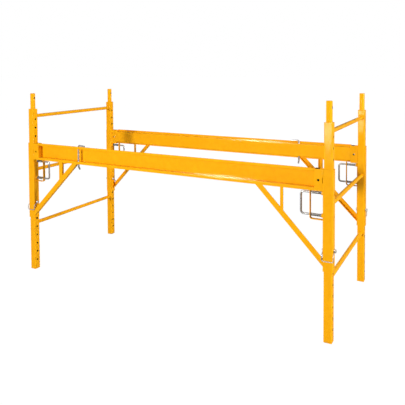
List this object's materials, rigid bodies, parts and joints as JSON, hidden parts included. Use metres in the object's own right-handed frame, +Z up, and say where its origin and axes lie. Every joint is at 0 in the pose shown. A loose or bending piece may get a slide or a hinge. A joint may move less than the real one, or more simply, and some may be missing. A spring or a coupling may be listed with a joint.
{
  "type": "frame scaffold section",
  "caption": "Frame scaffold section: ladder end frames with drilled uprights and stacking spigots, joined by braced deck rails with spring lock pins and deck latches.",
  "frame": {"origin": "on the ground, midway between the four uprights", "axes": "+X along the deck rails, to the right as seen from the front; +Y across the section, from front to back; +Z up"},
  "size_m": [1.88, 0.793, 1.0795],
  "materials": {
    "yellow_paint": "semi-gloss enamel",
    "zinc_rod": "bright zinc plate",
    "spring_steel": "zinc-plated spring wire",
    "plated_wire": "bright zinc plate"
  },
  "bodies": {
    "frame": {"end_connector_left_back": "yellow_paint", "end_connector_left_front": "yellow_paint", "end_connector_right_back": "yellow_paint", "end_connector_right_front": "yellow_paint", "knee_brace_left_back": "yellow_paint", "knee_brace_left_front": "yellow_paint", "knee_brace_right_back": "yellow_paint", "knee_brace_right_front": "yellow_paint", "lock_springs_left_back": "spring_steel", "lock_springs_left_front": "spring_steel", "lock_springs_right_back": "spring_steel", "lock_springs_right_front": "spring_steel", "pin_bushings_back": "yellow_paint", "pin_bushings_front": "yellow_paint", "pin_strap_left_back": "yellow_paint", "pin_strap_left_front": "yellow_paint", "pin_strap_right_back": "yellow_paint", "pin_strap_right_front": "yellow_paint", "rail_back": "yellow_paint", "rail_front": "yellow_paint", "rung_left_bottom": "yellow_paint", "rung_left_middle": "yellow_paint", "rung_left_top": "yellow_paint", "rung_right_bottom": "yellow_paint", "rung_right_middle": "yellow_paint", "rung_right_top": "yellow_paint", "sleeve_left_back": "yellow_paint", "sleeve_left_front": "yellow_paint", "sleeve_right_back": "yellow_paint", "sleeve_right_front": "yellow_paint", "snap_pin_left_back": "plated_wire", "snap_pin_left_front": "plated_wire", "snap_pin_right_back": "plated_wire", "snap_pin_right_front": "plated_wire", "spigot_left_back": "yellow_paint", "spigot_left_front": "yellow_paint", "spigot_right_back": "yellow_paint", "spigot_right_front": "yellow_paint", "strut_left_back": "yellow_paint", "strut_left_front": "yellow_paint", "strut_right_back": "yellow_paint", "strut_right_front": "yellow_paint", "upright_left_back": "yellow_paint", "upright_left_front": "yellow_paint", "upright_right_back": "yellow_paint", "upright_right_front": "yellow_paint"},
    "lock_left_front": {"lock_pin_left_front": "zinc_rod", "spring_collars_left_front": "zinc_rod"},
    "bail_left_front": {"snap_bail_left_front": "plated_wire"},
    "lock_left_back": {"lock_pin_left_back": "zinc_rod", "spring_collars_left_back": "zinc_rod"},
    "bail_left_back": {"snap_bail_left_back": "plated_wire"},
    "lock_right_front": {"lock_pin_right_front": "zinc_rod", "spring_collars_right_front": "zinc_rod"},
    "bail_right_front": {"snap_bail_right_front": "plated_wire"},
    "lock_right_back": {"lock_pin_right_back": "zinc_rod", "spring_collars_right_back": "zinc_rod"},
    "bail_right_back": {"snap_bail_right_back": "plated_wire"},
    "latch_front": {"deck_latch_front": "zinc_rod"},
    "latch_back": {"deck_latch_back": "zinc_rod"}
  },
  "joints": [
    {"name": "lock_slide_left_front", "type": "slide", "parent": "frame", "child": "lock_left_front", "axis": [1, 0, 0], "range_m": [0, 0.025], "stiffness_N_per_m": 600, "springref_m": -0.02, "deforming": ["lock_springs_left_front"]},
    {"name": "bail_hinge_left_front", "type": "hinge", "parent": "frame", "child": "bail_left_front", "pos_m": [-0.90725, -0.3683, 0.41275], "axis": [-1, 0, 0], "range_deg": [0, 120]},
    {"name": "lock_slide_left_back", "type": "slide", "parent": "frame", "child": "lock_left_back", "axis": [1, 0, 0], "range_m": [0, 0.025], "stiffness_N_per_m": 600, "springref_m": -0.02, "deforming": ["lock_springs_left_back"]},
    {"name": "bail_hinge_left_back", "type": "hinge", "parent": "frame", "child": "bail_left_back", "pos_m": [-0.90725, 0.3683, 0.41275], "axis": [1, 0, 0], "range_deg": [0, 120]},
    {"name": "lock_slide_right_front", "type": "slide", "parent": "frame", "child": "lock_right_front", "axis": [-1, 0, 0], "range_m": [0, 0.025], "stiffness_N_per_m": 600, "springref_m": -0.02, "deforming": ["lock_springs_right_front"]},
    {"name": "bail_hinge_right_front", "type": "hinge", "parent": "frame", "child": "bail_right_front", "pos_m": [0.90725, -0.3683, 0.41275], "axis": [-1, 0, 0], "range_deg": [0, 120]},
    {"name": "lock_slide_right_back", "type": "slide", "parent": "frame", "child": "lock_right_back", "axis": [-1, 0, 0], "range_m": [0, 0.025], "stiffness_N_per_m": 600, "springref_m": -0.02, "deforming": ["lock_springs_right_back"]},
    {"name": "bail_hinge_right_back", "type": "hinge", "parent": "frame", "child": "bail_right_back", "pos_m": [0.90725, 0.3683, 0.41275], "axis": [1, 0, 0], "range_deg": [0, 120]},
    {"name": "latch_hinge_front", "type": "hinge", "parent": "frame", "child": "latch_front", "pos_m": [-0.533, -0.38279, 0.7], "axis": [0, 0, 1], "range_deg": [0, 90]},
    {"name": "latch_hinge_back", "type": "hinge", "parent": "frame", "child": "latch_back", "pos_m": [0.533, 0.38279, 0.7], "axis": [0, 0, 1], "range_deg": [0, 90]}
  ]
}
